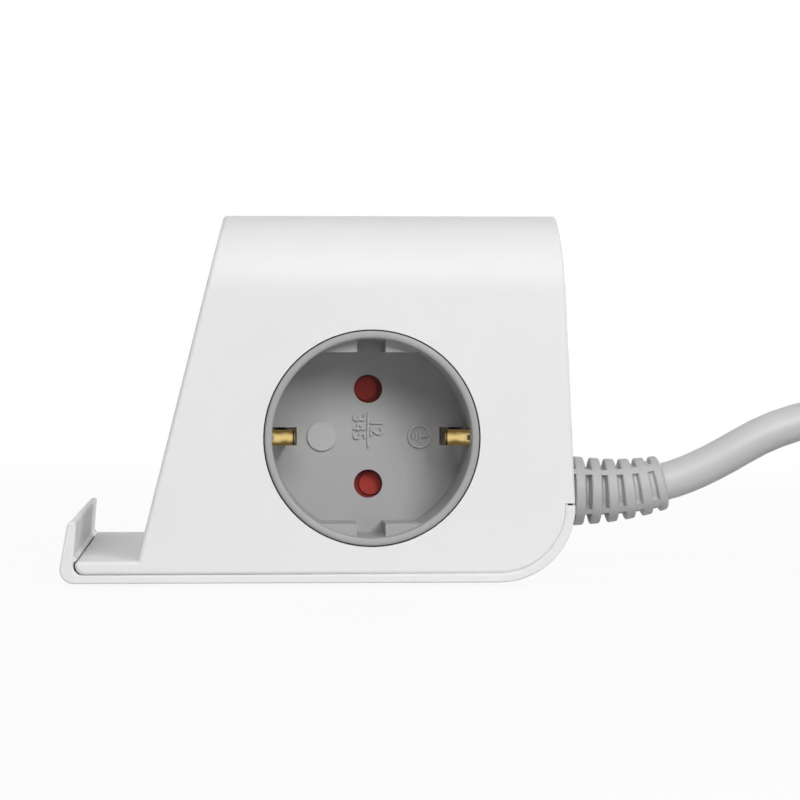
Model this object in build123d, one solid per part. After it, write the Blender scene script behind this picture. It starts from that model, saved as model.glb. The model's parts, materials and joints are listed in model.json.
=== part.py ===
from build123d import *
import math
import os

# Desk socket strip: two earthed sockets set in the ends of a white housing with a sloping device rest.
# Millimetres, +Z up. X runs from the front lip to the rear wall, Y from the near end to the far end.
# The origin is under the middle of the housing, on the table.

os.makedirs("parts", exist_ok=True)

# Housing and base
body_length = 100.7
body_depth = 110.0
body_height = 73.0
foot_height = 0.8
wall = 2.2
top_round = 15.0
edge_round = 1.0
toe_start = 3.0
toe_top = 5.2
toe_round = 1.75
toe_nose = 0.8
toe_edge_round = 0.75
front_foot = 15.05
front_lean = 0.25
rear_taper = 2.5
rear_slit_z = 16.25
rear_slit_gap = 0.38
rear_round = 14.9
base_sheet = 1.65
parting_gap = 0.08
tongue = 1.6
tongue_reach = 6.2
lip_top = 12.9
lip_corner = 2.9
lip_inner_foot = 2.6
lip_inner_top = 3.25
lip_outer_top = 1.4
lip_corner_rise = 3.1
lip_corner_bulge = 0.8
lip_crown = 1.1
lip_crown_bulge = 0.33
lip_inner_cut = 0.25
lip_inner_round = 1.9
base_edge_round = 0.35
hook_reach = 0.7
hook_rise = 1.1
hook_gap = 0.15
hook_root = 0.5
hook_inset = 0.8
rib_thick = 1.6
rib_depth = 4.0
rib_y = 15.0
rib_low = 10.0
rib_high = 64.0
rib_root = 1.0

# Sockets, measured inward from the face of the end wall
socket_to_rear = 39.9
socket_z = 29.05
rim_radius = 21.0
rim_proud = 0.4
rim_gap = 0.25
rim_fillet = 0.6
mouth_radius = 19.5
mouth_length = 3.0
floor_radius = 19.2
recess_depth = 17.5
cup_radius = 21.0
flange_radius = 22.6
flange_thick = 2.0
floor_thick = 2.0
seat_gap = 0.05
tooth_chord = 16.8
tooth_slot = 5.6
tooth_set_back = 0.1
pin_spacing = 19.0
pin_hole_radius = 2.85
clip_slot_height = 3.6
clip_slot_inner = 14.3
clip_slot_start = 4.4
post_circle = 26.2
post_web_thick = 2.4
post_web_start = 8.0
post_web_root = 0.7
post_web_lap = 1.0
post_radius = 3.2
wall_boss_end = 6.0

# Rotary shutter behind the socket floor
pivot_radius = 2.0
pivot_running = 0.05
pivot_length = 2.7
shutter_front_gap = 0.3
shutter_thick = 2.2
shutter_room = 3.0
pad_radius = 4.2
arm_width = 5.0
step_depth = 0.45
step_radius = 3.2
button_radius = 2.25
button_shift = 0.5
lug_length = 9.6
lug_width = 2.4
spring_thick = 0.35
spring_width = 1.6
spring_tip = 8.0
spring_run = 4.6
spring_climb = 5.0
spring_peg_radius = 1.2

# Contact carrier, contacts and bars
clip_room = 1.2
carrier_plate = 2.0
skirt_wall = 2.0
ear_root = 1.3
tower_outer = 9.4
tower_inner = 6.6
tower_length = 11.5
sleeve_outer = 6.2
sleeve_inner = 5.0
sleeve_length = 12.8
sleeve_gap = 0.5
bar_width = 6.0
bar_thick = 0.8
bar_lap = 0.1
bar_end_gap = 0.3
tab_width = 3.0
tab_lap = 0.7
live_tab = 7.0
neutral_tab = 5.0
earth_tab = 6.0
clip_width = 3.1
clip_notch = 1.0
clip_thick = 0.6
clip_tip_radius = 20.0
clip_tip_depth = 5.0
clip_grip_radius = 15.0
clip_grip_depth = 8.4
clip_bend = 1.0
clip_leg_radius = 17.3
clip_leg_depth = 21.5
clip_leg_gap = 0.6
clip_yoke_depth = 27.0

# Screws and feet
screw_radius = 1.2
pilot_gap = 0.05
clear_hole_radius = 1.6
screw_head_radius = 2.7
screw_head_height = 1.9
head_gap = 0.2
long_screw_end_gap = 0.5
housing_screw_inset = 7.5
housing_screw_front = 25.0
housing_screw_to_rear = 14.2
housing_screw_end = 14.0
base_boss_radius = 3.9
base_boss_top = 5.5
housing_boss_radius = 3.4
housing_boss_top = 20.0
boss_cap = 2.0
foot_radius = 5.0
foot_sunk = 0.8
foot_gap = 0.2
foot_front = 18.0
foot_to_rear = 16.7
foot_inset = 22.0

# Cord, strain relief and clamp
cord_diameter = 8.0
cord_z = 16.5
relief_straight = 9.3
relief_bend_radius = 63.0
relief_core_radius = 5.1
ring_start = 6.3
ring_pitch = 3.45
ring_count = 6
ring_thick = 1.95
ring_foot_gap = 0.2
ring_edge_round = 0.4
end_ring_round = 1.1
ring_radius_first = 7.28
ring_taper = 0.083
window_share = 0.51
notch_share = 0.74
pocket_floor = 4.5
web_skin = 0.05
neck_radius = 5.8
neck_gap = 0.1
neck_hole_reach = 6.0
collar_gap = 0.25
collar_thick = 3.1
neck_depth = 5.45
inner_flange_radius = 7.0
inner_flange_thick = 2.0
sheath_depth = 24.75
clamp_depth = 20.75
clamp_length = 7.0
clamp_post_y = 10.0
clamp_post_radius = 3.2
clamp_saddle = 12.0
clamp_inset = 0.5
clamp_screw_grip = 10.0
clamp_groove_gap = 0.05
clamp_bar_thick = 4.6
clamp_squeeze_gap = 0.4
core_diameter = 2.4
core_bend = 7.2
core_spacing = 2.7
core_rise = 0.7
earth_core_drop = 2.0
core_end_gap = 1.0

# Coil of put-away cord, its tie, and the plug
turn_pitch = 8.2
coil_reach = 161.65
coil_y = -9.0
bend_share = 0.45
cord_lead = 12.0
cord_points = [(30, 1.2, 30.3), (55.8, 10.3, 33.4), (78.3, 31, 22.9)]
cord_drop = 104.8
cord_landing = 7.5
tail_landing = 14.0
tail_run = 10.0
coil_radius = 44.0
coil_corner = 3.5
tie_thick = 1.0
tie_gap = 0.1
tie_angle = 14.0
plug_reach = 84.0
plug_back_radius = 20.0
plug_back_height = 13.0
plug_back_round = 2.0
plug_front_radius = 18.4
plug_front_top = 27.0
plug_entry_z = 7.5
plug_entry_reach = 38.0
plug_neck_radius = 6.6
plug_neck_end_radius = 5.4
plug_neck_root = 3.0
plug_pin_radius = 2.4
plug_pin_length = 19.0
plug_pin_round = 1.44
plug_flat = 16.4
plug_ridge = 5.2
earth_channel_width = 5.2
earth_channel_depth = 1.6
earth_strip_width = 4.6
earth_strip_thick = 0.6
earth_strip_low_gap = 0.3
earth_strip_high_gap = 0.5

# How far joined pieces run into one another, how far a cut runs past the face it opens, a length past
# everything on one end, and how close two places count as one
weld = 0.5
past = 1.0
beyond = 40.0
same = 0.01

x_shift = -body_length / 2
rear_wall = body_length / 2
half_depth = body_depth / 2
rear_top = body_length - rear_taper
socket_x = body_length - socket_to_rear
cord_radius = cord_diameter / 2
base_top = foot_height + base_sheet
housing_under = base_top + parting_gap
rear_centre_x = body_length - rear_round
rear_centre_z = foot_height + rear_round
tongue_start = rear_centre_x + tongue_reach
front_offset = wall * math.hypot(1, front_lean)
front_top = front_foot + front_lean * (body_height - toe_top)
rear_lean = (body_length - rear_top) / (body_height - rear_slit_z)
floor_back = recess_depth + floor_thick
plate_front = floor_back + shutter_room
plate_back = plate_front + carrier_plate
pin_height = pin_spacing / 2
carrier_radius = clip_leg_radius + clip_thick / 2 + clip_room + skirt_wall
near_place = Location((socket_x + x_shift, -half_depth, socket_z))
far_place = Location((socket_x + x_shift, half_depth, socket_z), (0, 0, 180))


def front_at(z):
    return front_foot + front_lean * (z - toe_top)


def rear_at(z):
    return body_length - rear_lean * (z - rear_slit_z)


def on_circle(centre_x, centre_z, radius, degrees):
    turn = math.radians(degrees)
    return (centre_x + radius * math.cos(turn), centre_z + radius * math.sin(turn))


def slab(outline, y_low, y_high):
    # A closed outline drawn in X and Z, carried from one Y to the other.
    face = Plane.XZ.offset(-y_high) * make_face(outline)
    return extrude(face, y_high - y_low, dir=(0, -1, 0))


def block(x_low, x_high, y_low, y_high, z_low, z_high):
    middle = ((x_low + x_high) / 2, (y_low + y_high) / 2, (z_low + z_high) / 2)
    return Pos(*middle) * Box(x_high - x_low, y_high - y_low, z_high - z_low)


def rod_x(radius, y, z, x_low, x_high):
    return Location(((x_low + x_high) / 2, y, z), (0, 90, 0)) * Cylinder(radius, x_high - x_low)


def rod_y(radius, x, z, y_low, y_high):
    return Location((x, (y_low + y_high) / 2, z), (90, 0, 0)) * Cylinder(radius, y_high - y_low)


def rod_z(radius, x, y, z_low, z_high):
    return Pos(x, y, (z_low + z_high) / 2) * Cylinder(radius, z_high - z_low)


def tube(path, radius):
    section = Plane(origin=path @ 0, z_dir=path % 0) * Circle(radius)
    return sweep(section, path=path)


def save(shape, node):
    export_step(shape, f"parts/{node}.step")


# Positions of the screws that join base and housing, and of the feet
housing_screw_rear = body_length - housing_screw_to_rear
housing_screw_y = half_depth - housing_screw_inset
foot_rear = body_length - foot_to_rear
foot_y = half_depth - foot_inset
screw_places = [
    (x + x_shift, y)
    for x in (housing_screw_front, housing_screw_rear)
    for y in (-housing_screw_y, housing_screw_y)
]
foot_places = [(x + x_shift, y) for x in (foot_front, foot_rear) for y in (-foot_y, foot_y)]
pin_places = (-pin_height, pin_height)
post_offset = post_circle / math.sqrt(2)
post_places = [(post_offset, post_offset), (-post_offset, -post_offset)]

# Places along the cord, measured from the rear wall
collar_start = rear_wall + collar_gap
neck_start = rear_wall - neck_depth
ring_first = rear_wall + ring_start
relief_bend_start = rear_wall + relief_straight
ring_last = ring_first + (ring_count - 1) * ring_pitch
sheath_end = rear_wall - sheath_depth
clamp_low = rear_wall - clamp_depth
clamp_high = clamp_low + clamp_length
clamp_middle = (clamp_low + clamp_high) / 2
coil_x = rear_wall + coil_reach

# Upper housing: a prism of the side outline with its top ends rounded over
rear_step = body_length - base_sheet - parting_gap
inner_rear_round = rear_round - base_sheet - parting_gap
outline = (
    Line((toe_start + toe_round, housing_under), (rear_centre_x, housing_under))
    + ThreePointArc(
        (rear_centre_x, housing_under),
        on_circle(rear_centre_x, rear_centre_z, inner_rear_round, -45),
        (rear_step, rear_centre_z),
    )
    + Polyline(
        (rear_step, rear_centre_z),
        (rear_step, rear_slit_z),
        (body_length, rear_slit_z),
        (rear_top, body_height),
        (front_top, body_height),
        (front_foot, toe_top),
        (toe_start + toe_nose, toe_top),
    )
    + ThreePointArc(
        (toe_start + toe_nose, toe_top),
        on_circle(toe_start + toe_nose, toe_top - toe_nose, toe_nose, 135),
        (toe_start, toe_top - toe_nose),
    )
    + Line((toe_start, toe_top - toe_nose), (toe_start, housing_under + toe_round))
    + ThreePointArc(
        (toe_start, housing_under + toe_round),
        on_circle(toe_start + toe_round, housing_under + toe_round, toe_round, 225),
        (toe_start + toe_round, housing_under),
    )
)
housing = slab(outline, -half_depth, half_depth)
top_ends = [
    e
    for e in housing.edges().filter_by(Axis.X)
    if abs(e.center().Z - body_height) < same and abs(abs(e.center().Y) - half_depth) < same
]
housing = fillet(top_ends, top_round)
sloping_face = housing.faces().filter_by(lambda f: f.normal_at().X < -0.9).sort_by(SortBy.AREA)[-1]
rear_face = housing.faces().filter_by(lambda f: f.normal_at().X > 0.9).sort_by(SortBy.AREA)[-1]
soft_edges = [
    e
    for e in sloping_face.edges() + rear_face.edges()
    if not (abs(e.center().Y) < same and e.center().Z < body_height / 2)
]
housing = fillet(soft_edges, edge_round)
toe_edges = [
    e
    for e in housing.edges().filter_by(Axis.X)
    if abs(e.center().Z - toe_top) < same and abs(abs(e.center().Y) - half_depth) < same
]
housing = fillet(toe_edges, toe_edge_round)

# The hollow inside it, open below
inner_top = body_height - wall
inner_rear = rear_round - base_sheet - parting_gap - tongue
tongue_low = rear_centre_z - math.sqrt(inner_rear**2 - (tongue_start - rear_centre_x) ** 2)
tongue_angle = math.degrees(math.asin((tongue_low - rear_centre_z) / inner_rear))
open_below = 0.0
cavity_outline = (
    Polyline(
        (tongue_start, tongue_low),
        (tongue_start, open_below),
        (front_at(open_below) + front_offset, open_below),
        (front_at(inner_top) + front_offset, inner_top),
        (rear_at(inner_top) - wall, inner_top),
        (rear_at(rear_slit_z + 2 * tongue) - wall, rear_slit_z + 2 * tongue),
        (rear_centre_x + inner_rear, rear_centre_z),
    )
    + ThreePointArc(
        (rear_centre_x + inner_rear, rear_centre_z),
        on_circle(rear_centre_x, rear_centre_z, inner_rear, tongue_angle / 2),
        (tongue_start, tongue_low),
    )
)
cavity = slab(cavity_outline, wall - half_depth, half_depth - wall)
cavity_ends = [
    e
    for e in cavity.edges().filter_by(Axis.X)
    if abs(e.center().Z - inner_top) < same and abs(e.center().Y) > half_depth - wall - same
]
cavity = fillet(cavity_ends, top_round - wall)
housing = housing - cavity
housing = housing - rod_y(rim_radius + rim_gap, socket_x, socket_z, -half_depth - past, half_depth + past)
for y in (-rib_y, rib_y):
    rib = Polyline(
        (front_at(rib_low) + rib_root, rib_low),
        (front_at(rib_high) + rib_root, rib_high),
        (front_at(rib_high) + front_offset + rib_depth, rib_high),
        (front_at(rib_low) + front_offset + rib_depth, rib_low),
        close=True,
    )
    housing = housing + slab(rib, y - rib_thick / 2, y + rib_thick / 2)
housing = Pos(x_shift, 0, 0) * housing
wall_bosses = [
    place * rod_y(post_radius, u, w, wall - weld, wall_boss_end)
    for place in (near_place, far_place)
    for u, w in post_places
]
housing = housing + wall_bosses
boss_bottom = base_boss_top + seat_gap
for x, y in screw_places:
    toward_end = math.copysign(1, y)
    rib_from = sorted((y, toward_end * (half_depth - wall / 2)))
    rib = block(x - rib_thick / 2, x + rib_thick / 2, *rib_from, boss_bottom, housing_boss_top)
    housing = housing + rod_z(housing_boss_radius, x, y, boss_bottom, housing_boss_top) + rib
pilots = [
    rod_z(screw_radius + pilot_gap, x, y, boss_bottom - past, housing_boss_top - boss_cap)
    for x, y in screw_places
]
pilots += [
    place * rod_y(screw_radius + pilot_gap, u, w, wall, wall_boss_end + past)
    for place in (near_place, far_place)
    for u, w in post_places
]
neck_hole = rod_x(neck_radius + neck_gap, 0, cord_z, neck_start - neck_hole_reach, collar_start + past)
housing = housing - pilots - neck_hole
save(housing, "upper_housing")

# Base tray: one bent sheet with the lip in front and the quarter round at the rear
sheet_inner = rear_round - base_sheet
sheet_end = rear_slit_z - rear_slit_gap
lip_round_x = lip_inner_foot + lip_inner_round
lip_round_z = base_top + lip_inner_round
lip_outer_z = foot_height + lip_corner_rise
base_outline = (
    Line((lip_corner, foot_height), (rear_centre_x, foot_height))
    + ThreePointArc(
        (rear_centre_x, foot_height),
        on_circle(rear_centre_x, rear_centre_z, rear_round, -45),
        (body_length, rear_centre_z),
    )
    + Polyline(
        (body_length, rear_centre_z),
        (body_length, sheet_end),
        (body_length - base_sheet, sheet_end),
        (body_length - base_sheet, rear_centre_z),
    )
    + ThreePointArc(
        (body_length - base_sheet, rear_centre_z),
        on_circle(rear_centre_x, rear_centre_z, sheet_inner, -45),
        (rear_centre_x, base_top),
    )
    + Line((rear_centre_x, base_top), (lip_round_x, base_top))
    + ThreePointArc(
        (lip_round_x, base_top),
        on_circle(lip_round_x, lip_round_z, lip_inner_round, 225),
        (lip_inner_foot, lip_round_z),
    )
    + Polyline(
        (lip_inner_foot, lip_round_z),
        (lip_inner_top, lip_top - lip_inner_cut),
        (lip_inner_top - lip_inner_cut, lip_top),
        (lip_outer_top + lip_crown, lip_top),
    )
    + ThreePointArc(
        (lip_outer_top + lip_crown, lip_top),
        (lip_outer_top + lip_crown_bulge, lip_top - lip_crown_bulge),
        (lip_outer_top, lip_top - lip_crown),
    )
    + Line((lip_outer_top, lip_top - lip_crown), (0, lip_outer_z))
    + ThreePointArc(
        (0, lip_outer_z),
        (lip_corner_bulge, foot_height + lip_corner_bulge),
        (lip_corner, foot_height),
    )
)
base = slab(base_outline, -half_depth, half_depth)
base_rim = [
    e
    for e in base.edges()
    if abs(abs(e.center().Y) - half_depth) < same
    and math.hypot(e.center().X - rear_centre_x, e.center().Z - rear_centre_z) > rear_round - base_sheet / 4
]
base = fillet(base_rim, base_edge_round)
hook_z = toe_top + hook_gap
hook_outline = Polyline(
    (lip_inner_foot - hook_root, hook_z - hook_reach),
    (lip_inner_foot + hook_reach, hook_z),
    (lip_inner_foot - hook_root, hook_z + hook_rise * (1 + hook_root / hook_reach)),
    close=True,
)
base = base + slab(hook_outline, hook_inset - half_depth, half_depth - hook_inset)
base = Pos(x_shift, 0, 0) * base
for x, y in screw_places:
    base = base + rod_z(base_boss_radius, x, y, foot_height + weld, base_boss_top)
half_saddle = clamp_saddle / 2
base = base + block(clamp_low, clamp_high, -half_saddle, half_saddle, foot_height + weld, cord_z)
for y in (-clamp_post_y, clamp_post_y):
    base = base + rod_z(clamp_post_radius, clamp_middle, y, foot_height + weld, cord_z)
head_seat = foot_height + foot_sunk + screw_head_height + head_gap / 2
base_cuts = [neck_hole]
base_cuts += [rod_x(cord_radius + clamp_groove_gap, 0, cord_z, clamp_low - past, clamp_high + past)]
for x, y in screw_places:
    base_cuts += [rod_z(screw_head_radius + head_gap, x, y, -past, head_seat)]
    base_cuts += [rod_z(clear_hole_radius, x, y, 0, base_boss_top + past)]
for x, y in foot_places:
    base_cuts += [rod_z(foot_radius + foot_gap, x, y, -past, foot_height + foot_sunk)]
for y in (-clamp_post_y, clamp_post_y):
    base_cuts += [rod_z(screw_radius + pilot_gap, clamp_middle, y, base_top + past, cord_z + past)]
base = base - base_cuts
save(base, "base_tray")

# Socket insert: rim, mouth ring, tapering recess and floor as one turned shape
cup_outline = Polyline(
    (0, recess_depth),
    (floor_radius, recess_depth),
    (mouth_radius, mouth_length - rim_proud),
    (mouth_radius, -rim_proud),
    (rim_radius, -rim_proud),
    (rim_radius, wall + seat_gap),
    (flange_radius, wall + seat_gap),
    (flange_radius, wall + seat_gap + flange_thick),
    (cup_radius, wall + seat_gap + flange_thick),
    (cup_radius, floor_back),
    (0, floor_back),
    close=True,
)
cup_face = make_face(cup_outline)
rim_corners = [v for v in cup_face.vertices() if abs(v.Y + rim_proud) < same]
cup_face = fillet(rim_corners, rim_fillet)
insert = revolve(cup_face, Axis.Y)
tooth_start = mouth_length - rim_proud + tooth_set_back
teeth = rod_y(mouth_radius + weld, 0, 0, tooth_start, recess_depth + weld)
teeth = teeth - block(-beyond, beyond, 0, beyond, -tooth_chord, tooth_chord)
teeth = teeth - block(-tooth_slot / 2, tooth_slot / 2, 0, beyond, -beyond, beyond)
insert = insert + teeth
insert = insert + rod_y(pivot_radius, 0, 0, floor_back - weld, floor_back + pivot_length)
half_web = post_web_thick / 2
for u, w in post_places:
    reach = math.copysign(1, u)
    web_span = sorted((reach * (cup_radius - post_web_root), reach * (post_circle - post_web_lap)))
    web = Rot(0, -45, 0) * block(*web_span, post_web_start, floor_back, -half_web, half_web)
    insert = insert + rod_y(post_radius, u, w, wall_boss_end + seat_gap, plate_front - seat_gap) + web
insert_cuts = [rod_y(pin_hole_radius, 0, w, recess_depth - past, floor_back + past) for w in pin_places]
insert_cuts += [rod_y(clear_hole_radius, u, w, 0, plate_front + past) for u, w in post_places]
half_slot = clip_slot_height / 2
for side in (-1, 1):
    slot_span = sorted((side * clip_slot_inner, side * (flange_radius + past)))
    insert_cuts += [block(*slot_span, clip_slot_start, floor_back + past, -half_slot, half_slot)]
insert = insert - insert_cuts

# Shutter: a hub with two arms whose pads close the pin holes, and a lug for its spring
shutter_front = floor_back + shutter_front_gap
shutter_back = shutter_front + shutter_thick
shutter = rod_y(pad_radius, 0, 0, shutter_front, shutter_back)
for w in pin_places:
    shutter = shutter + rod_y(pad_radius, 0, w, shutter_front, shutter_back)
shutter = shutter + block(-arm_width / 2, arm_width / 2, shutter_front, shutter_back, -pin_height, pin_height)
shutter = shutter + block(0, lug_length, shutter_front, shutter_back, -lug_width / 2, lug_width / 2)
shutter = shutter - rod_y(pivot_radius + pivot_running, 0, 0, shutter_front - past, shutter_back + past)
for side in (-1, 1):
    step = rod_y(step_radius, 0, side * pin_height, shutter_front - past, shutter_front + step_depth)
    button = rod_y(button_radius, -side * button_shift, side * pin_height, shutter_front - past, shutter_back)
    shutter = shutter - (step - button)

# Leaf spring from a peg on the carrier plate to the shutter lug
peg_w = lug_width / 2 + spring_climb
spring_across = spring_thick * math.hypot(spring_run, spring_climb) / spring_climb
spring_middle = (shutter_front + shutter_back) / 2
spring_outline = Polyline(
    (spring_tip, lug_width / 2),
    (spring_tip + spring_across, lug_width / 2),
    (spring_tip + spring_across + spring_run, peg_w),
    (spring_tip + spring_run, peg_w),
    close=True,
)
spring = slab(spring_outline, spring_middle - spring_width / 2, spring_middle + spring_width / 2)

# Contact carrier: skirt round the shutter, plate, two towers and two screw ears
carrier = rod_y(carrier_radius, 0, 0, floor_back + seat_gap, plate_back)
carrier = carrier - rod_y(carrier_radius - skirt_wall, 0, 0, floor_back - past, plate_front)
half_tower = tower_outer / 2
half_pocket = tower_inner / 2
tower_back = plate_back + tower_length
for w in pin_places:
    carrier = carrier + block(
        -half_tower, half_tower, plate_back - weld, tower_back, w - half_tower, w + half_tower
    )
peg_u = spring_tip + spring_run + spring_thick
carrier = carrier + rod_y(spring_peg_radius, peg_u, peg_w, shutter_front, plate_front + weld)
for u, w in post_places:
    reach = math.copysign(1, u)
    ear_span = sorted((reach * (carrier_radius - ear_root), reach * post_circle))
    ear = Rot(0, -45, 0) * block(*ear_span, plate_front, plate_back, -post_radius, post_radius)
    carrier = carrier + rod_y(post_radius, u, w, plate_front, plate_back) + ear
carrier_cuts = [
    block(-half_pocket, half_pocket, plate_back, tower_back + past, w - half_pocket, w + half_pocket)
    for w in pin_places
]
carrier_cuts += [rod_y(pin_hole_radius, 0, w, plate_front - past, plate_back + past) for w in pin_places]
carrier_cuts += [
    rod_y(clear_hole_radius, u, w, plate_front - past, plate_back + past) for u, w in post_places
]
leg_room = clip_thick / 2 + clip_leg_gap
for side in (-1, 1):
    slot_span = sorted((side * (clip_leg_radius - leg_room), side * (clip_leg_radius + leg_room)))
    carrier_cuts += [block(*slot_span, plate_front - past, plate_back + past, -half_slot, half_slot)]
carrier = carrier - carrier_cuts


# Earth clip: one strip bent to two spring arms with a yoke behind the carrier
def strip(points, thick):
    # Even strip along a bent line in the plane of X and depth, by moving the line to both sides.
    centre = FilletPolyline(*points, radius=clip_bend)
    return make_face(offset(centre, amount=thick / 2, side=Side.BOTH))


clip_points = [
    (-clip_tip_radius, clip_tip_depth),
    (-clip_grip_radius, clip_grip_depth),
    (-clip_leg_radius, clip_leg_depth),
    (-clip_leg_radius, clip_yoke_depth),
    (clip_leg_radius, clip_yoke_depth),
    (clip_leg_radius, clip_leg_depth),
    (clip_grip_radius, clip_grip_depth),
    (clip_tip_radius, clip_tip_depth),
]
earth_clip = extrude(Plane.XY.offset(-clip_width / 2) * strip(clip_points, clip_thick), clip_width)
half_notch = clip_notch / 2
earth_clip = earth_clip - block(-beyond, beyond, 0, clip_tip_depth + clip_notch, -half_notch, half_notch)

# Long screw through carrier and insert into the end wall
carrier_screws = []
for u, w in post_places:
    carrier_screws += [
        rod_y(screw_head_radius, u, w, plate_back + seat_gap, plate_back + seat_gap + screw_head_height)
        + rod_y(screw_radius, u, w, wall + long_screw_end_gap, plate_back + past)
    ]

socket_ends = {"near": near_place, "far": far_place}
for end, place in socket_ends.items():
    save(place * insert, f"socket_insert_{end}")
    save(place * shutter, f"shutter_{end}")
    save(place * spring, f"shutter_spring_{end}")
    save(place * carrier, f"contact_carrier_{end}")
    save(place * earth_clip, f"earth_clip_{end}")
socket_screws = [place * screw for place in socket_ends.values() for screw in carrier_screws]
save(Compound(children=socket_screws), "socket_screws")

# Bars that join the contacts of both sockets, each with a tab for its wire
bar_x = socket_x + x_shift
tab_x = bar_x + bar_width / 2
sleeve_start = plate_back + sleeve_gap
sleeve_end = sleeve_start + sleeve_length
strip_reach = half_depth - tower_back - bar_end_gap
half_tab = tab_width / 2


def contact_bar(side, tab_y, tab_low, tab_high):
    z = socket_z + side * pin_height
    half_out = sleeve_outer / 2
    half_in = sleeve_inner / 2
    strip_z = sorted((z + side * (half_out - bar_lap), z + side * (half_out - bar_lap + bar_thick)))
    bar = block(bar_x - bar_width / 2, tab_x, -strip_reach, strip_reach, *strip_z)
    for end in (-1, 1):
        y_span = sorted((end * (half_depth - sleeve_start), end * (half_depth - sleeve_end)))
        bar = bar + block(bar_x - half_out, bar_x + half_out, *y_span, z - half_out, z + half_out)
        bore = sorted((end * (half_depth - sleeve_start + past), end * (half_depth - sleeve_end - past)))
        bar = bar - block(bar_x - half_in, bar_x + half_in, *bore, z - half_in, z + half_in)
    tab = block(tab_x - bar_lap, tab_x + bar_thick, tab_y - half_tab, tab_y + half_tab, tab_low, tab_high)
    return bar + tab


live_y = -core_spacing
neutral_y = core_spacing
live_z = socket_z + pin_height + sleeve_outer / 2
neutral_z = socket_z - pin_height - sleeve_outer / 2
live_bar = contact_bar(1, live_y, live_z - live_tab, live_z + tab_lap)
neutral_bar = contact_bar(-1, neutral_y, neutral_z - tab_lap, neutral_z + neutral_tab)
yoke_face = clip_yoke_depth + clip_thick / 2
earth_half = half_depth - yoke_face
earth_bar = block(
    bar_x - bar_width / 2, tab_x, -earth_half, earth_half, socket_z - bar_thick / 2, socket_z + bar_thick / 2
)
earth_bar = earth_bar + block(
    tab_x - bar_lap, tab_x + bar_thick, -half_tab, half_tab, socket_z - earth_tab, socket_z + bar_thick / 2
)
save(live_bar, "live_bar")
save(neutral_bar, "neutral_bar")
save(earth_bar, "earth_bar")

# Cores from the cut end of the sheath to the tabs
core_radius = core_diameter / 2
lap_x = tab_x + bar_thick + core_radius
core_z = cord_z + core_rise
earth_core_z = cord_z - earth_core_drop
core_runs = {"live_wire": (live_y, core_z, live_z), "earth_wire": (0, earth_core_z, socket_z)}
for node, (y, z_low, z_high) in core_runs.items():
    route = [(sheath_end, y, z_low), (lap_x, y, z_low), (lap_x, y, z_high - core_end_gap)]
    save(tube(FilletPolyline(*route, radius=core_bend), core_radius), node)
save(rod_x(core_radius, neutral_y, core_z, tab_x + bar_thick, sheath_end), "neutral_wire")

# Clamp bar over the sheath, and its two screws
clamp_under = cord_z + clamp_squeeze_gap
clamp_top = clamp_under + clamp_bar_thick
clamp_half = clamp_post_y + clamp_post_radius
clamp_span = (clamp_low + clamp_inset, clamp_high - clamp_inset)
clamp = block(*clamp_span, -clamp_half, clamp_half, clamp_under, clamp_top)
clamp_cuts = [rod_x(cord_radius + clamp_groove_gap, 0, cord_z, clamp_low, clamp_high)]
clamp_screws = []
for y in (-clamp_post_y, clamp_post_y):
    clamp_cuts += [rod_z(clear_hole_radius, clamp_middle, y, clamp_under - past, clamp_top + past)]
    head = rod_z(screw_head_radius, clamp_middle, y, clamp_top, clamp_top + screw_head_height)
    clamp_screws += [head + rod_z(screw_radius, clamp_middle, y, cord_z - clamp_screw_grip, clamp_top + weld)]
save(clamp - clamp_cuts, "cord_clamp")
save(Compound(children=clamp_screws), "clamp_screws")
neck_inner = neck_start - inner_flange_thick
save(rod_x(cord_radius, 0, cord_z, sheath_end, neck_inner), "cord_inner_end")

# Screws from below and the feet
housing_screws = []
for x, y in screw_places:
    head = rod_z(screw_head_radius, x, y, head_seat - screw_head_height, head_seat)
    housing_screws += [head + rod_z(screw_radius, x, y, head_seat - weld, housing_screw_end)]
save(Compound(children=housing_screws), "housing_screws")
feet = [rod_z(foot_radius, x, y, 0, foot_height + foot_sunk) for x, y in foot_places]
save(Compound(children=feet), "rubber_feet")


# Strain relief: a bending core in a tapering sleeve, with a window on each side and a notch above and
# below in every gap between its rings
def relief_place(x):
    turn = math.asin(max(0.0, x - relief_bend_start) / relief_bend_radius)
    z = cord_z + relief_bend_radius * (1 - math.cos(turn))
    return Location((x, 0, z), (0, 90 - math.degrees(turn), 0))


def relief_radius(x):
    return ring_radius_first - ring_taper * (x - ring_first)


def sleeve_piece(x, length, skin=0.0):
    return Cone(relief_radius(x - length / 2) - skin, relief_radius(x + length / 2) - skin, length)


def ring_piece(x, last):
    foot = (ring_pitch - ring_foot_gap) / 2
    crest = ring_thick / 2
    end_foot = crest if last else foot
    section = Polyline(
        (0, -foot),
        (pocket_floor, -foot),
        (relief_radius(x - crest), -crest),
        (relief_radius(x + crest), crest),
        (pocket_floor, end_foot),
        (0, end_foot),
        close=True,
    )
    return revolve(Plane.XZ * make_face(section), Axis.Z)


def crest_edges(ring):
    circles = ring.edges().filter_by(GeomType.CIRCLE).sort_by(Axis.Z)
    return [circle for circle in circles if circle.radius > relief_core_radius]


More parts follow.
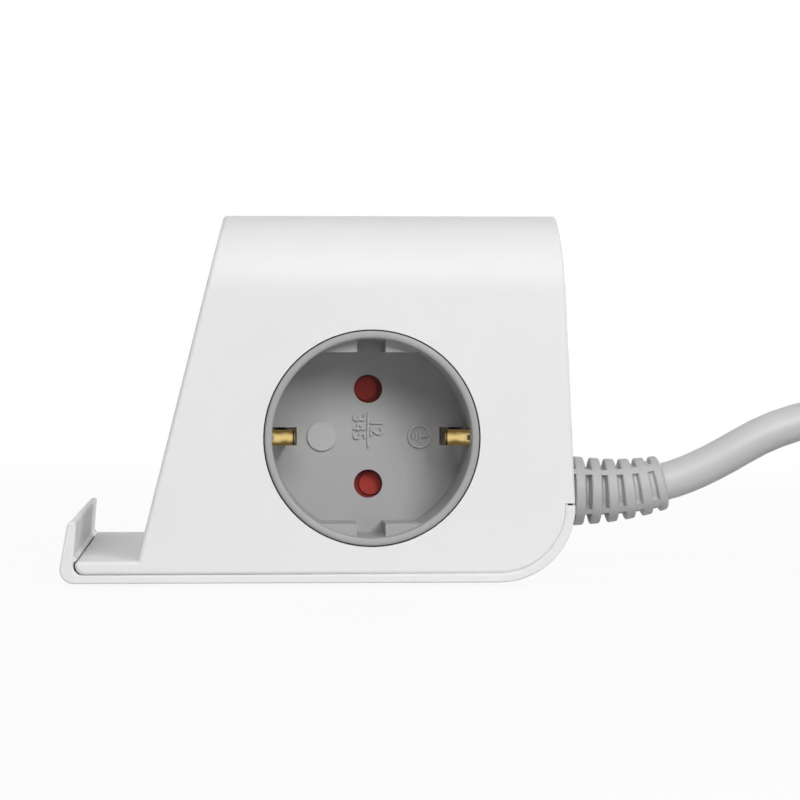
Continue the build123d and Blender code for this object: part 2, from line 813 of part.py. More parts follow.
relief_turn = math.asin((ring_last - relief_bend_start) / relief_bend_radius)
relief_last_z = cord_z + relief_bend_radius * (1 - math.cos(relief_turn))
relief_end = ring_last + ring_thick / 2 * math.cos(relief_turn)
relief_end_z = relief_last_z + ring_thick / 2 * math.sin(relief_turn)
half_turn = relief_turn / 2
relief_path = Line((collar_start - weld, 0, cord_z), (relief_bend_start, 0, cord_z)) + ThreePointArc(
    (relief_bend_start, 0, cord_z),
    (
        relief_bend_start + relief_bend_radius * math.sin(half_turn),
        0,
        cord_z + relief_bend_radius * (1 - math.cos(half_turn)),
    ),
    (ring_last, 0, relief_last_z),
)
relief = tube(Wire(relief_path.edges()), relief_core_radius)
relief = relief + rod_x(inner_flange_radius, 0, cord_z, neck_inner, neck_start)
relief = relief + rod_x(neck_radius, 0, cord_z, neck_start - weld, collar_start + weld)
collar_middle = collar_start + collar_thick / 2
relief = relief + relief_place(collar_middle) * sleeve_piece(collar_middle, collar_thick)
for index in range(ring_count):
    ring_x = ring_first + index * ring_pitch
    last = index == ring_count - 1
    ring = ring_piece(ring_x, last)
    outer_round = end_ring_round if last else ring_edge_round
    ring = fillet(crest_edges(ring)[:1], ring_edge_round)
    ring = fillet(crest_edges(ring)[-1:], outer_round)
    relief = relief + relief_place(ring_x) * ring
    gap_x = ring_x - ring_pitch / 2
    gap = sleeve_piece(gap_x, ring_pitch, web_skin)
    window = 2 * window_share * relief_radius(gap_x)
    notch = 2 * notch_share * relief_radius(gap_x)
    for side in (-1, 1):
        pocket_middle = side * (pocket_floor + beyond / 2)
        gap = gap - Pos(0, pocket_middle, 0) * Box(window, beyond, beyond)
        gap = gap - Pos(pocket_middle, 0, 0) * Box(beyond, notch, beyond)
    relief = relief + relief_place(gap_x) * gap
save(relief, "strain_relief")

# Cord from the strain relief, over in a low arch, down on to the coil
outer_turn = coil_radius + turn_pitch
low_turn_z = tie_thick + tie_gap + cord_radius
high_turn_z = low_turn_z + turn_pitch
cord_route = [
    (relief_end, 0, relief_end_z),
    (relief_end + cord_lead, 0, relief_end_z + cord_lead * math.tan(relief_turn)),
    *[(relief_end + x, y, z) for x, y, z in cord_points],
    (relief_end + cord_drop, coil_y + outer_turn, high_turn_z),
    (coil_x - cord_landing, coil_y + outer_turn, high_turn_z),
]
plug_x = coil_x - plug_reach
plug_y = coil_y - outer_turn
entry_x = plug_x + plug_entry_reach
tail_route = [
    (coil_x - tail_landing, plug_y, low_turn_z),
    (coil_x - tail_landing - tail_run, plug_y, low_turn_z),
    (entry_x + tail_run, plug_y, plug_entry_z),
    (entry_x, plug_y, plug_entry_z),
]


def bend_radii(route):
    radii = []
    for before, corner, after in zip(route, route[1:], route[2:]):
        a = Vector(*corner) - Vector(*before)
        b = Vector(*after) - Vector(*corner)
        half = math.radians(a.get_angle(b)) / 2
        radii.append(bend_share * min(a.length, b.length) / math.tan(half))
    return radii


for node, route in {"cord_tube": cord_route, "cord_tail": tail_route}.items():
    radii = bend_radii(route)
    path = FilletPolyline(*route, radius=radii)
    cord = tube(path, cord_radius)
    print(node, "bend radii", [round(r, 1) for r in radii], "length", round(path.length, 1))
    print(node, "volume share", round(cord.volume / (math.pi * cord_radius**2 * path.length), 4))
    save(cord, node)

# Coil as one ring of its outer shape, and the tie round one side of it
coil_low = tie_thick + tie_gap
coil_high = high_turn_z + cord_radius
coil_inner = coil_radius - turn_pitch - cord_radius
coil_outer = outer_turn + cord_radius
coil_width = coil_outer - coil_inner
coil_middle_z = (coil_low + coil_high) / 2
coil_face = Pos(coil_radius, coil_middle_z) * RectangleRounded(coil_width, coil_high - coil_low, coil_corner)
coil = revolve(Plane.XZ * coil_face, Axis.Z)
save(Pos(coil_x, coil_y, 0) * coil, "cord_coil")
tie_inner = Rectangle(coil_width + 2 * tie_gap, coil_high - coil_low + 2 * tie_gap)
tie_outer = Rectangle(
    coil_width + 2 * (tie_gap + tie_thick), coil_high - coil_low + 2 * (tie_gap + tie_thick)
)
tie_face = Pos(coil_radius, coil_middle_z) * (tie_outer - tie_inner)
tie = revolve(Plane.XZ * tie_face, Axis.Z, tie_angle)
save(Pos(coil_x, coil_y, 0) * Rot(0, 0, -tie_angle / 2) * tie, "cord_tie")

# Angled earthed plug, lying on its flat back with the pins up
plug = rod_z(plug_back_radius, 0, 0, 0, plug_back_height)
plug = fillet(plug.edges().filter_by(GeomType.CIRCLE), plug_back_round)
front = rod_z(plug_front_radius, 0, 0, plug_back_height - weld, plug_front_top)
half_ridge = plug_ridge / 2
keep = block(-beyond, beyond, -plug_flat, plug_flat, 0, beyond)
keep = keep + block(-half_ridge, half_ridge, -beyond, beyond, 0, beyond)
plug = plug + (front & keep)
neck_root_x = plug_back_radius - plug_neck_root
neck_at = Location(((neck_root_x + plug_entry_reach) / 2, 0, plug_entry_z), (0, 90, 0))
plug = plug + neck_at * Cone(plug_neck_radius, plug_neck_end_radius, plug_entry_reach - neck_root_x)
channel_floor = plug_front_radius - earth_channel_depth
channel_half = earth_channel_width / 2
for side in (-1, 1):
    channel = sorted((side * channel_floor, side * beyond))
    plug = plug - block(*channel, -channel_half, channel_half, plug_back_height, beyond)
plug_pins = [
    rod_z(plug_pin_radius, 0, side * pin_height, plug_front_top, plug_front_top + plug_pin_length)
    for side in (-1, 1)
]
plug_pins = [
    fillet(p.edges().filter_by(GeomType.CIRCLE).sort_by(Axis.Z)[-1:], plug_pin_round) for p in plug_pins
]
strip_half = earth_strip_width / 2
plug_strips = [
    block(
        *sorted((side * channel_floor, side * (channel_floor + earth_strip_thick))),
        -strip_half,
        strip_half,
        plug_back_height + earth_strip_low_gap,
        plug_front_top - earth_strip_high_gap,
    )
    for side in (-1, 1)
]
plug_place = Pos(plug_x, plug_y, 0)
save(plug_place * plug, "plug_body")
save(Compound(children=[plug_place * p for p in plug_pins]), "plug_pins")
save(Compound(children=[plug_place * s for s in plug_strips]), "plug_earth_contacts")
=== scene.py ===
import json
import math

import bmesh
import bpy
from mathutils import Matrix, Vector


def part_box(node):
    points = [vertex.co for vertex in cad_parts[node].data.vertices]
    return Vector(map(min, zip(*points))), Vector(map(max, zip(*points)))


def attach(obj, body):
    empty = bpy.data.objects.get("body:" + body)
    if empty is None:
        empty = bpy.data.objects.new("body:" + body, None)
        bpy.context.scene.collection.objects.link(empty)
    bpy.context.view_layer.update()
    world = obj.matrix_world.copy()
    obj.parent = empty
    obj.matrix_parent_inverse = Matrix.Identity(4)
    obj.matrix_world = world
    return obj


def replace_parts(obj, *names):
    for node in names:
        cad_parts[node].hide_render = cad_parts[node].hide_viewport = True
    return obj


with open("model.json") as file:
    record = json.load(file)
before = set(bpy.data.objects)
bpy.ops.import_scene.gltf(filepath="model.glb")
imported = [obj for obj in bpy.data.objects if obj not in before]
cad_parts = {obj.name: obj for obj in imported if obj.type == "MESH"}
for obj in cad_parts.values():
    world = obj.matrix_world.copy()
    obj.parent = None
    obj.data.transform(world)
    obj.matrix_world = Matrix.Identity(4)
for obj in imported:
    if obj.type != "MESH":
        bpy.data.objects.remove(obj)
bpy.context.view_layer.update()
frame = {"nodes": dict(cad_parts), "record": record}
nodes = frame["nodes"]

# Lengths are in metres, in the frame of the part: X to the rear wall, Y to the far end, Z up.
MM = 0.001

# Camera: the near end is seen almost square on, from a little above the middle of the body
CAMERA_PLACE = Vector((-0.01918, -0.705, 0.0449))
CAMERA_AIM = Vector((0.05389, 0.99846, -0.01286))
CAMERA_LENS = 150.1
SENSOR_WIDTH = 36.0

# Sockets: the middle of each floor, and which way its own right and its mouth point
SOCKET_X = 10.45 * MM
SOCKET_Z = 29.05 * MM
FLOOR_Y = 37.5 * MM
SOCKET_FLOORS = {
    "near": ((SOCKET_X, -FLOOR_Y, SOCKET_Z), (1, 0, 0), (0, -1, 0)),
    "far": ((SOCKET_X, FLOOR_Y, SOCKET_Z), (-1, 0, 0), (0, 1, 0)),
}

# Marks on the socket floors. Each earth bar is its shift from the middle of the sign and its height, in mm.
MARK_HEIGHT = 0.45 * MM
MARK_SUNK = 0.05 * MM
MARK_LINE = 0.32 * MM
DISC_U = -9.3 * MM
DISC_RADIUS = 2.9 * MM
EARTH_SIGN_U = 10.3 * MM
EARTH_SIGN_RADIUS = 2.35 * MM
EARTH_BARS = [(0.1, 2.3), (-0.65, 1.5), (-1.35, 0.8)]
EARTH_STEM_SHARE = 0.75
DIGIT_SIZE = 3.6 * MM
DIGIT_COLUMNS = {"12": (0.45 * MM, 3.6 * MM), "345": (-3.0 * MM, 4.6 * MM)}
DIVIDER = (-2.2 * MM, 4.8 * MM)

# Parting line of base and housing: the quarter round at the rear, and the slit above it
HALF_DEPTH = 55.0 * MM
ROUND_CENTRE = (35.45 * MM, 15.7 * MM)
SEAL_RADII = (13.05 * MM, 13.35 * MM)
SEAL_TOP = 16.2 * MM
SEAL_THICK = 0.5 * MM
SEAL_START = -44.0 * MM
SEAL_DEEPEST = 0.8 * MM
SEAL_DEEP = 0.4 * MM
SEAL_SHALLOW = 0.02 * MM
SEAL_STEPS = 24
SLIT_LOW = (48.66 * MM, 15.86 * MM)
SLIT_HIGH = (50.0 * MM, 16.26 * MM)
SLIT_RUN = (9.0 * MM, 47.0 * MM)
SLIT_LIP = 49.85 * MM
SLIT_END = 54.8 * MM

# Screws that hold the base: head and cross recess, seen from below
SCREW_HEAD_RADIUS = 2.7 * MM
SCREW_RADIUS = 1.2 * MM
SCREW_HEAD_HEIGHT = 1.9 * MM
CROSS_DEPTH = 1.1 * MM
CROSS_REACH = 1.5 * MM
CROSS_WIDTH = 0.55 * MM

# Added pieces are smooth across edges that bend less than this, in degrees
SMOOTH_BELOW = 40.0

# Cord: the route's own points in mm, then the turns of the coil, then the short tail to the plug in mm
CORD_DIAMETER = 8.0 * MM
CORD_ROUTE = [
    (74.85, 0.0, 18.35),
    (81.4, 0.0, 19.87),
    (102.6, 1.2, 32.2),
    (130.7, 10.3, 33.4),
    (153.2, 31.0, 22.9),
    (180.0, 43.2, 13.3),
    (204.5, 43.2, 13.3),
]
TAIL_ROUTE = [
    (198.0, -61.2, 5.1),
    (188.0, -61.2, 5.1),
    (176.0, -61.2, 7.5),
    (166.0, -61.2, 7.5),
]

# Coil: three lanes on two levels. Each stop is a count of turns, and the lane or level there.
COIL_CENTRE = Vector((212.0 * MM, -9.0 * MM))
OUTER_TURN = 52.2 * MM
TURN_PITCH = 8.2 * MM
LANES = [OUTER_TURN, OUTER_TURN - TURN_PITCH, OUTER_TURN - 2 * TURN_PITCH]
LOW_TURN_Z = 5.1 * MM
HIGH_TURN_Z = 13.3 * MM
COIL_TURNS = 4.5
POINTS_PER_TURN = 24
LANE_STOPS = [
    (0.0, LANES[0]),
    (0.55, LANES[0]),
    (0.75, LANES[1]),
    (1.55, LANES[1]),
    (1.75, LANES[2]),
    (2.55, LANES[2]),
    (2.75, LANES[1]),
    (3.55, LANES[1]),
    (3.75, LANES[0]),
    (COIL_TURNS, LANES[0]),
]
LEVEL_STOPS = [(0.0, HIGH_TURN_Z), (1.75, HIGH_TURN_Z), (2.0, LOW_TURN_Z), (COIL_TURNS, LOW_TURN_Z)]

# Strap round the coil
STRAP_HALF_WIDTH = 6.0 * MM
STRAP_INNER = 4.1 * MM
STRAP_THICK = 1.0 * MM
STRAP_STEPS = 72
STRAP_STRIPS = 6

# Moulded plastic: faint flow marks, patches of more and less sheen, and a fine satin grain
FLOW_SCALE = 45.0
SHEEN_SCALE = 160.0
SHEEN_SPREAD = 0.05
GRAIN_SCALE = 2600.0
GRAIN_DETAIL = 4.0
GRAIN_DEPTH = 0.02 * MM
GRAIN_STRENGTH = 0.08

# Metal strip: streaks along its length, tarnish, and on the clips stains and painted shade toward their
# edges
STREAK_SCALE = 900.0
STREAK_DETAIL = 4.0
STREAK_DEPTH = 0.02 * MM
TARNISH_SCALE = 220.0
STAIN_SCALE = 420.0
STAIN_SHARE = 0.7
CLIP_STREAK_DEPTH = 0.03 * MM
CLIP_HALF_WIDTH = 1.55 * MM

# Woven strap
THREAD_SCALE = 1500.0
THREAD_DEPTH = 0.15 * MM
FUZZ_SCALE = 400.0

# Painted shade in the seat round the socket's rim, behind the end wall, and in the step round each shutter
# button
SEAT_RADIUS = 20.95 * MM
SEAT_DEPTH = HALF_DEPTH - 0.3 * MM
SEAT_PAINTED_SHADE = 0.1
STEP_LEVEL = FLOOR_Y - 2.5 * MM
STEP_PAINTED_SHADE = 0.66

# Floor: how much of its look is plain white, less round the object so that its shadow shows there
FLOOR_HALF = 4.0
FLOOR_COLOUR = (0.55, 0.55, 0.55)
FLOOR_SCALE = 6.0
FLOOR_SPREAD = 0.004
GLOW_NEAR = 0.93
GLOW_FAR = 1.0
SHADOW_NEAR = 0.25
SHADOW_FAR = 0.9

# Light: the world's share of it, and softboxes aimed at the body, each with its place, size and power
WORLD_LIGHT = 0.05
BODY_MIDDLE = Vector((0.0, 0.0, 0.035))
SOFTBOXES = {
    "key_light": ((0.62, -1.27, 0.79), (0.5, 0.7), 14.7),
    "front_light": ((-0.14, -1.33, 0.91), (0.7, 0.5), 6.5),
    "left_light": ((-1.1, -0.25, 1.25), (0.6, 0.7), 3.9),
    "back_light": ((1.0, 1.4, 0.35), (0.6, 0.6), 10.0),
    "rear_fill_light": ((-0.75, 1.5, 0.3), (0.5, 0.5), 5.0),
}


# Materials
class Surface:
    """A Principled material with its own node tree, and short ways to add what varies over it."""

    def __init__(self, name, colour, roughness, metallic=0.0, specular=0.5):
        self.material = bpy.data.materials.new(name)
        self.material.use_nodes = True
        self.tree = self.material.node_tree
        self.shader = self.tree.nodes["Principled BSDF"]
        self.shader.inputs["Roughness"].default_value = roughness
        self.shader.inputs["Metallic"].default_value = metallic
        self.shader.inputs["Specular IOR Level"].default_value = specular
        self.colour = colour
        self.roughness = roughness
        coordinates = self.add("ShaderNodeTexCoord")
        self.place = coordinates.outputs["Object"]

    def add(self, kind):
        return self.tree.nodes.new(kind)

    def join(self, output, socket):
        self.tree.links.new(output, socket)

    def axes(self):
        parts = self.add("ShaderNodeSeparateXYZ")
        self.join(self.place, parts.inputs["Vector"])
        return parts.outputs

    def stretched(self, scale):
        mapping = self.add("ShaderNodeMapping")
        mapping.inputs["Scale"].default_value = scale
        self.join(self.place, mapping.inputs["Vector"])
        return mapping.outputs["Vector"]

    def noise(self, scale, detail=3.0, vector=None):
        texture = self.add("ShaderNodeTexNoise")
        texture.inputs["Scale"].default_value = scale
        texture.inputs["Detail"].default_value = detail
        self.join(vector or self.place, texture.inputs["Vector"])
        return texture.outputs["Fac"]

    def calc(self, operation, value, other=None):
        step = self.add("ShaderNodeMath")
        step.operation = operation
        self.join(value, step.inputs[0])
        if isinstance(other, float):
            step.inputs[1].default_value = other
        elif other:
            self.join(other, step.inputs[1])
        return step.outputs[0]

    def paint(self, factor, stops):
        """Base colour from a ramp through the stops, each a position and a colour."""
        ramp = self.add("ShaderNodeValToRGB")
        elements = ramp.color_ramp.elements
        while len(elements) < len(stops):
            elements.new(0.5)
        for element, (position, colour) in zip(elements, stops):
            element.position = position
            element.color = (*colour, 1.0)
        self.join(factor, ramp.inputs["Fac"])
        self.join(ramp.outputs["Color"], self.shader.inputs["Base Color"])

    def shade(self, level):
        return tuple(min(1.0, c * level) for c in self.colour)

    def vary_colour(self, factor, spread):
        self.paint(factor, [(0.3, self.shade(1 - spread)), (0.7, self.shade(1 + spread))])

    def flow_and_painted_shade(self, spread, mask, painted_dark):
        """Faint flow marks in the colour, and painted shade, a darker copy of the colour, where the mask is
        1.
        """
        flow = self.calc("MULTIPLY", self.noise(FLOW_SCALE), 0.5)
        low, high = self.shade(1 - spread), self.shade(1 + spread)
        stops = [(0.15, low), (0.35, high), (0.75, high), (0.95, self.shade(painted_dark))]
        self.paint(self.calc("ADD", flow, mask), stops)

    def vary_roughness(self, factor, spread):
        span = self.add("ShaderNodeMapRange")
        span.inputs["To Min"].default_value = self.roughness - spread
        span.inputs["To Max"].default_value = self.roughness + spread
        self.join(factor, span.inputs["Value"])
        self.join(span.outputs["Result"], self.shader.inputs["Roughness"])

    def bump(self, height, strength, distance):
        bump = self.add("ShaderNodeBump")
        bump.inputs["Strength"].default_value = strength
        bump.inputs["Distance"].default_value = distance
        self.join(height, bump.inputs["Height"])
        self.join(bump.outputs["Normal"], self.shader.inputs["Normal"])

    def satin(self, strength=GRAIN_STRENGTH):
        self.vary_roughness(self.noise(SHEEN_SCALE), SHEEN_SPREAD)
        self.bump(self.noise(GRAIN_SCALE, GRAIN_DETAIL), strength, GRAIN_DEPTH)

    def streaks(self, direction):
        return self.noise(STREAK_SCALE, STREAK_DETAIL, self.stretched(direction))


def moulded(name, colour, roughness, spread=0.03, strength=GRAIN_STRENGTH, specular=0.5):
    """Moulded plastic: fine satin grain, and faint flow marks at a larger scale."""
    surface = Surface(name, colour, roughness, specular=specular)
    surface.vary_colour(surface.noise(FLOW_SCALE), spread)
    surface.satin(strength)
    return surface.material


def socket_plastic_with_painted_shade(name, colour, roughness, spread, specular):
    """Moulded plastic with painted shade in the seat round the socket's rim, behind the end wall."""
    surface = Surface(name, colour, roughness, specular=specular)
    place = surface.axes()
    across = surface.calc("POWER", surface.calc("SUBTRACT", place["X"], SOCKET_X), 2.0)
    upward = surface.calc("POWER", surface.calc("SUBTRACT", place["Z"], SOCKET_Z), 2.0)
    radius = surface.calc("SQRT", surface.calc("ADD", across, upward))
    beside = surface.calc("GREATER_THAN", radius, SEAT_RADIUS)
    behind = surface.calc("LESS_THAN", surface.calc("ABSOLUTE", place["Y"]), SEAT_DEPTH)
    # Painted shade: the seat behind the end wall is darkened where shade falls in the gap round the rim
    surface.flow_and_painted_shade(spread, surface.calc("MULTIPLY", beside, behind), SEAT_PAINTED_SHADE)
    surface.satin()
    return surface.material


def shutter_plastic_with_painted_shade(name, colour, roughness, spread, specular):
    """Moulded plastic with painted shade in the step round each button, behind the button's face."""
    surface = Surface(name, colour, roughness, specular=specular)
    from_middle = surface.calc("ABSOLUTE", surface.axes()["Y"])
    # Painted shade: the step round each button is darkened where shade falls in it
    surface.flow_and_painted_shade(spread, surface.calc("LESS_THAN", from_middle, STEP_LEVEL), STEP_PAINTED_SHADE)
    surface.satin()
    return surface.material


def rolled_metal(name, colour, roughness, direction):
    """Metal with fine rolling streaks along one direction, and faint tarnish."""
    surface = Surface(name, colour, roughness, metallic=1.0)
    streaks = surface.streaks(direction)
    surface.vary_colour(surface.noise(TARNISH_SCALE), 0.14)
    surface.vary_roughness(streaks, 0.09)
    surface.bump(streaks, 0.15, STREAK_DEPTH)
    return surface.material


def strip_with_painted_edge_shade(name, colour, painted_edge_shade, roughness):
    """Metal strip that lies across Z, its own colour along its middle and painted shade toward its edges,
    with stains.
    """
    surface = Surface(name, colour, roughness, metallic=1.0)
    away = surface.calc("ABSOLUTE", surface.calc("SUBTRACT", surface.axes()["Z"], SOCKET_Z))
    share = surface.calc("DIVIDE", away, CLIP_HALF_WIDTH)
    stain = surface.calc("MULTIPLY", surface.noise(STAIN_SCALE), STAIN_SHARE)
    # Painted shade: the colour darkens from the strip's middle to its edges, as on a curved strip
    surface.paint(surface.calc("ADD", share, stain), [(0.55, colour), (1.0, painted_edge_shade)])
    streaks = surface.streaks((1.0, 1.0, 0.08))
    surface.vary_roughness(streaks, 0.08)
    surface.bump(streaks, 0.3, CLIP_STREAK_DEPTH)
    return surface.material


def woven(name, colour):
    """Woven strap: fine threads, closer along one direction."""
    surface = Surface(name, colour, 0.9)
    height = surface.noise(THREAD_SCALE, 2.0, surface.stretched((1.0, 3.0, 1.0)))
    surface.vary_colour(height, 0.5)
    surface.vary_roughness(surface.noise(FUZZ_SCALE), 0.06)
    surface.bump(height, 0.6, THREAD_DEPTH)
    return surface.material


MATERIALS = {
    "white_shell": moulded("white_shell", (0.81, 0.81, 0.81), 0.42, spread=0.012, specular=0.2),
    "grey_insert": socket_plastic_with_painted_shade("grey_insert", (0.39, 0.39, 0.39), 0.42, 0.05, 0.2),
    # Painted sheen: the marks' grey is a little lighter than the insert's
    "polished_grey": moulded("polished_grey", (0.43, 0.43, 0.43), 0.26, strength=0.02, specular=0.4),
    "red_shutter": shutter_plastic_with_painted_shade("red_shutter", (0.32, 0.036, 0.029), 0.38, 0.12, 0.15),
    "brass": strip_with_painted_edge_shade("brass", (0.76, 0.57, 0.23), (0.14, 0.09, 0.03), 0.18),
    "steel": rolled_metal("steel", (0.55, 0.55, 0.56), 0.33, (1.0, 1.0, 0.2)),
    "carrier_plastic": moulded("carrier_plastic", (0.62, 0.62, 0.60), 0.5),
    "brown_core": moulded("brown_core", (0.12, 0.05, 0.025), 0.4, spread=0.1),
    "blue_core": moulded("blue_core", (0.03, 0.10, 0.36), 0.4, spread=0.1),
    "earth_core": moulded("earth_core", (0.20, 0.34, 0.04), 0.4, spread=0.2),
    "grey_relief": moulded("grey_relief", (0.49, 0.49, 0.49), 0.5, 0.04, 0.12, specular=0.3),
    "grey_sheath": moulded("grey_sheath", (0.57, 0.57, 0.57), 0.45, strength=0.12),
    "grey_plug": moulded("grey_plug", (0.47, 0.47, 0.46), 0.48, spread=0.04, strength=0.12),
    "plated_pins": rolled_metal("plated_pins", (0.72, 0.70, 0.66), 0.22, (1.0, 1.0, 0.1)),
    "foot_rubber": moulded("foot_rubber", (0.03, 0.03, 0.03), 0.8, spread=0.15, strength=0.3),
    "tie_fabric": woven("tie_fabric", (0.02, 0.02, 0.022)),
}


def dress(piece, slot):
    piece.data.materials.clear()
    piece.data.materials.append(MATERIALS[slot])


for subpart in frame["record"]["subparts"]:
    dress(nodes[subpart["node"]], subpart["material_slot"])


# Low blocks for raised marks and screw heads
def block(bm, outline, holes=(), low=-MARK_SUNK, high=MARK_HEIGHT):
    """A flat outline, with any holes in it, as a block from one local Z to another."""
    edges = []
    for loop in (outline, *holes):
        corners = [bm.verts.new((x, y, low)) for x, y in loop]
        edges += [bm.edges.new(pair) for pair in zip(corners, corners[1:] + corners[:1])]
    filled = bmesh.ops.triangle_fill(bm, edges=edges, use_beauty=True)
    faces = [item for item in filled["geom"] if isinstance(item, bmesh.types.BMFace)]
    grown = bmesh.ops.extrude_face_region(bm, geom=faces)
    top = [item for item in grown["geom"] if isinstance(item, bmesh.types.BMVert)]
    bmesh.ops.translate(bm, verts=top, vec=(0, 0, high - low))


def circle(x, y, radius, count=40):
    turns = [2 * math.pi * step / count for step in range(count)]
    return [(x + radius * math.cos(turn), y + radius * math.sin(turn)) for turn in turns]


def bar(x, y, width, height):
    return [
        (x - width / 2, y - height / 2),
        (x + width / 2, y - height / 2),
        (x + width / 2, y + height / 2),
        (x - width / 2, y + height / 2),
    ]


def digits_mesh(digits):
    """Plain digits as a low block, drawn along +X from the origin."""
    data = bpy.data.curves.new(digits, "FONT")
    data.body = digits
    data.size = DIGIT_SIZE
    data.extrude = (MARK_HEIGHT + MARK_SUNK) / 2
    data.resolution_u = 4
    maker = bpy.data.objects.new(digits, data)
    mesh = bpy.data.meshes.new_from_object(maker)
    bpy.data.objects.remove(maker)
    bpy.data.curves.remove(data)
    return mesh


def floor_marks():
    """Raised disc, earth sign in a ring, and plain digits in two columns beside a dividing line."""
    bm = bmesh.new()
    block(bm, circle(DISC_U, 0, DISC_RADIUS))
    ring_inner = EARTH_SIGN_RADIUS - MARK_LINE
    block(bm, circle(EARTH_SIGN_U, 0, EARTH_SIGN_RADIUS), [circle(EARTH_SIGN_U, 0, ring_inner)])
    for shift, height in EARTH_BARS:
        block(bm, bar(EARTH_SIGN_U + shift * MM, 0, MARK_LINE, height * MM))
    stem_start = EARTH_SIGN_U + EARTH_BARS[0][0] * MM + MARK_LINE / 2
    stem_length = ring_inner * EARTH_STEM_SHARE
    block(bm, bar(stem_start + stem_length / 2, 0, stem_length, MARK_LINE))
    block(bm, bar(0, sum(DIVIDER) / 2, MARK_LINE, DIVIDER[1] - DIVIDER[0]))
    for digits, (u, w) in DIGIT_COLUMNS.items():
        mesh = digits_mesh(digits)
        middle = Matrix.Translation((u, w, (MARK_HEIGHT - MARK_SUNK) / 2))
        mesh.transform(middle @ Matrix.Rotation(-math.pi / 2, 4, "Z"))
        bm.from_mesh(mesh)
        bpy.data.meshes.remove(mesh)
    return bm


def add_piece(name, bm, slot, smooth_below=0.0):
    """A new piece of the housing's body, smooth across edges that bend less than the given angle."""
    bmesh.ops.recalc_face_normals(bm, faces=bm.faces)
    mesh = bpy.data.meshes.new(name)
    bm.to_mesh(mesh)
    bm.free()
    if smooth_below:
        mesh.shade_smooth()
        mesh.set_sharp_from_angle(angle=math.radians(smooth_below))
    piece = bpy.data.objects.new(name, mesh)
    bpy.context.collection.objects.link(piece)
    dress(piece, slot)
    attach(piece, "housing")
    return piece


# The marks belong to the insert's slot, and are polished where the floor round them is satin; their grey is
# a little lighter than the insert's, as painted sheen
for end, (centre, right, mouth) in SOCKET_FLOORS.items():
    marks = floor_marks()
    turn = Matrix((right, (0, 0, 1), mouth)).transposed().to_4x4()
    marks.transform(Matrix.Translation(centre) @ turn)
    dress(add_piece(f"floor_marks_{end}", marks, "grey_insert"), "polished_grey")


# Seal in the parting line: nearly flush where the quarter round ends, deeper toward the floor
def run(bm, sections):
    """A closed bar through sections of four corners each."""
    rings = [[bm.verts.new(corner) for corner in section] for section in sections]
    for first, second in zip(rings, rings[1:]):
        for corner in range(4):
            after = (corner + 1) % 4
            bm.faces.new((first[corner], first[after], second[after], second[corner]))
    bm.faces.new(rings[0])
    bm.faces.new(reversed(rings[-1]))


def seal_section(spots, depth, side):
    face = side * (HALF_DEPTH - depth)
    back = face - side * SEAL_THICK
    (inner_x, inner_z), (outer_x, outer_z) = spots
    return [
        (inner_x, face, inner_z),
        (outer_x, face, outer_z),
        (outer_x, back, outer_z),
        (inner_x, back, inner_z),
    ]


def parting_seal():
    """For each end, a seal along the floor and up the quarter round, and a filler in the slit above it."""
    bm = bmesh.new()
    for side in (-1, 1):
        floor_spots = [(SEAL_START, ROUND_CENTRE[1] - radius) for radius in SEAL_RADII]
        sections = [seal_section(floor_spots, SEAL_DEEPEST, side)]
        for step in range(SEAL_STEPS + 1):
            share = step / SEAL_STEPS
            angle = math.pi / 2 * (share - 1)
            way = Vector((math.cos(angle), math.sin(angle)))
            spots = [Vector(ROUND_CENTRE) + radius * way for radius in SEAL_RADII]
            depth = SEAL_SHALLOW + (SEAL_DEEP - SEAL_SHALLOW) * (1 - share) ** 2
            sections.append(seal_section(spots, depth, side))
        top_spots = [(ROUND_CENTRE[0] + radius, SEAL_TOP) for radius in SEAL_RADII]
        sections.append(seal_section(top_spots, SEAL_SHALLOW, side))
        run(bm, sections)
        (low_x, low_z), (high_x, high_z) = SLIT_LOW, SLIT_HIGH
        slit = [(low_x, low_z), (high_x, low_z), (high_x, high_z), (low_x, high_z)]
        run(bm, [[(x, side * y, z) for x, z in slit] for y in SLIT_RUN])
        slit_lip = [(max(x, SLIT_LIP), z) for x, z in slit]
        run(bm, [[(x, side * y, z) for x, z in slit_lip] for y in (SLIT_RUN[1], SLIT_END)])
    return bm


add_piece("parting_seal", parting_seal(), "white_shell", SMOOTH_BELOW)


# Base screws with a cross recess
def cross(reach, width):
    half = width / 2
    quarter = [(reach, -half), (reach, half), (half, half)]
    points = []
    for turn in range(4):
        points += [tuple(Matrix.Rotation(math.pi / 2 * turn, 2) @ Vector(point)) for point in quarter]
    return points


screw_low, screw_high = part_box("housing_screws")
head_top = screw_low[2] + SCREW_HEAD_HEIGHT
cross_top = screw_low[2] + CROSS_DEPTH
screws = bmesh.new()
for x in (screw_low[0] + SCREW_HEAD_RADIUS, screw_high[0] - SCREW_HEAD_RADIUS):
    for y in (screw_low[1] + SCREW_HEAD_RADIUS, screw_high[1] - SCREW_HEAD_RADIUS):
        recess = [(x + u, y + v) for u, v in cross(CROSS_REACH, CROSS_WIDTH)]
        block(screws, circle(x, y, SCREW_HEAD_RADIUS), [recess], screw_low[2], cross_top)
        block(screws, circle(x, y, SCREW_HEAD_RADIUS), [], cross_top, head_top)
        block(screws, circle(x, y, SCREW_RADIUS), [], head_top, screw_high[2])
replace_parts(add_piece("base_screws", screws, "steel", SMOOTH_BELOW), "housing_screws")


# Cord
def eased(turn, stops):
    """Value at this count of turns, eased from each stop to the next."""
    for (start, first), (end, last) in zip(stops, stops[1:]):
        if turn <= end:
            share = max(0.0, (turn - start) / (end - start))
            return first + (last - first) * share * share * (3 - 2 * share)
    return stops[-1][1]


